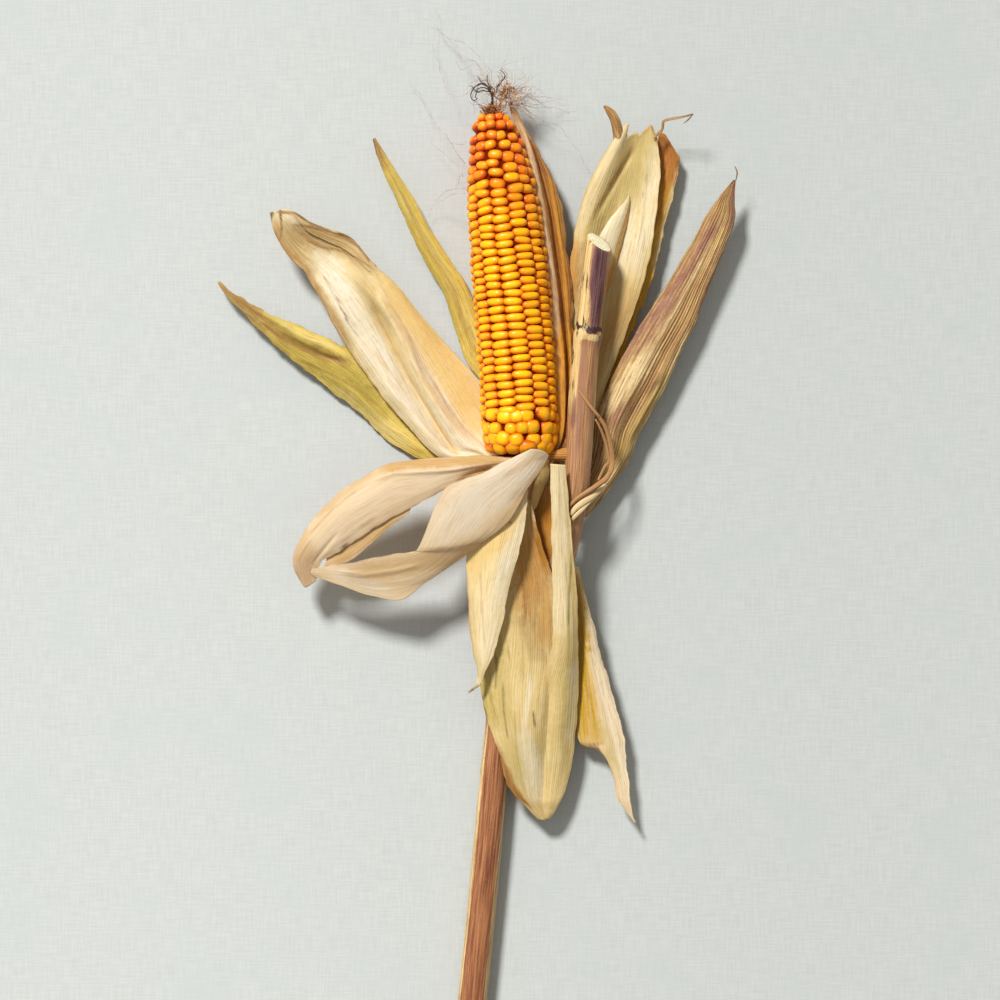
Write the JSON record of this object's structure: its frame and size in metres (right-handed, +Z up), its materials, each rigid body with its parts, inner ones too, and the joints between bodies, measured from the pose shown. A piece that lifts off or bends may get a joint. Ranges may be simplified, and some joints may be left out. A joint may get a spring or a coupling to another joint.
{
  "type": "corn cob",
  "caption": "Dried ear of field corn on its cut stalk, lying on a surface, with the husk leaves peeled back and silk at the tip.",
  "frame": {"origin": "on the surface that the part lies on, under the middle of its bounding box", "axes": "+Y along the ear from its butt towards its silk, +Z up from the surface, +X to the right of the ear"},
  "size_m": [0.2743, 0.539, 0.0446],
  "materials": {
    "kernels": "glossy orange kernels",
    "husk_cream": "dry papery leaf, pale cream with fine ribs",
    "husk_green": "dry papery leaf, yellow green with fine ribs",
    "husk_streaked": "dry papery leaf, pink and brown streaks",
    "stalk": "dry fibrous stalk, reddish brown to purple",
    "silk": "fine dry dark threads"
  },
  "bodies": {
    "root": {"ear": "kernels", "stalk": "stalk", "silk": "silk", "husk_left_outer": "husk_green", "husk_left_broad": "husk_cream", "husk_left_narrow": "husk_green", "husk_right_inner": "husk_cream", "husk_right_broad": "husk_cream", "husk_right_back": "husk_green", "husk_right_streaked": "husk_streaked", "husk_front_upper": "husk_cream", "husk_front_tuck": "husk_cream", "husk_front_lower": "husk_cream", "husk_down_left": "husk_cream", "husk_down_broad": "husk_green", "husk_down_strip": "husk_green", "husk_down_right": "husk_cream", "sliver_curled": "husk_streaked", "sliver_straight": "husk_streaked"}
  },
  "joints": []
}
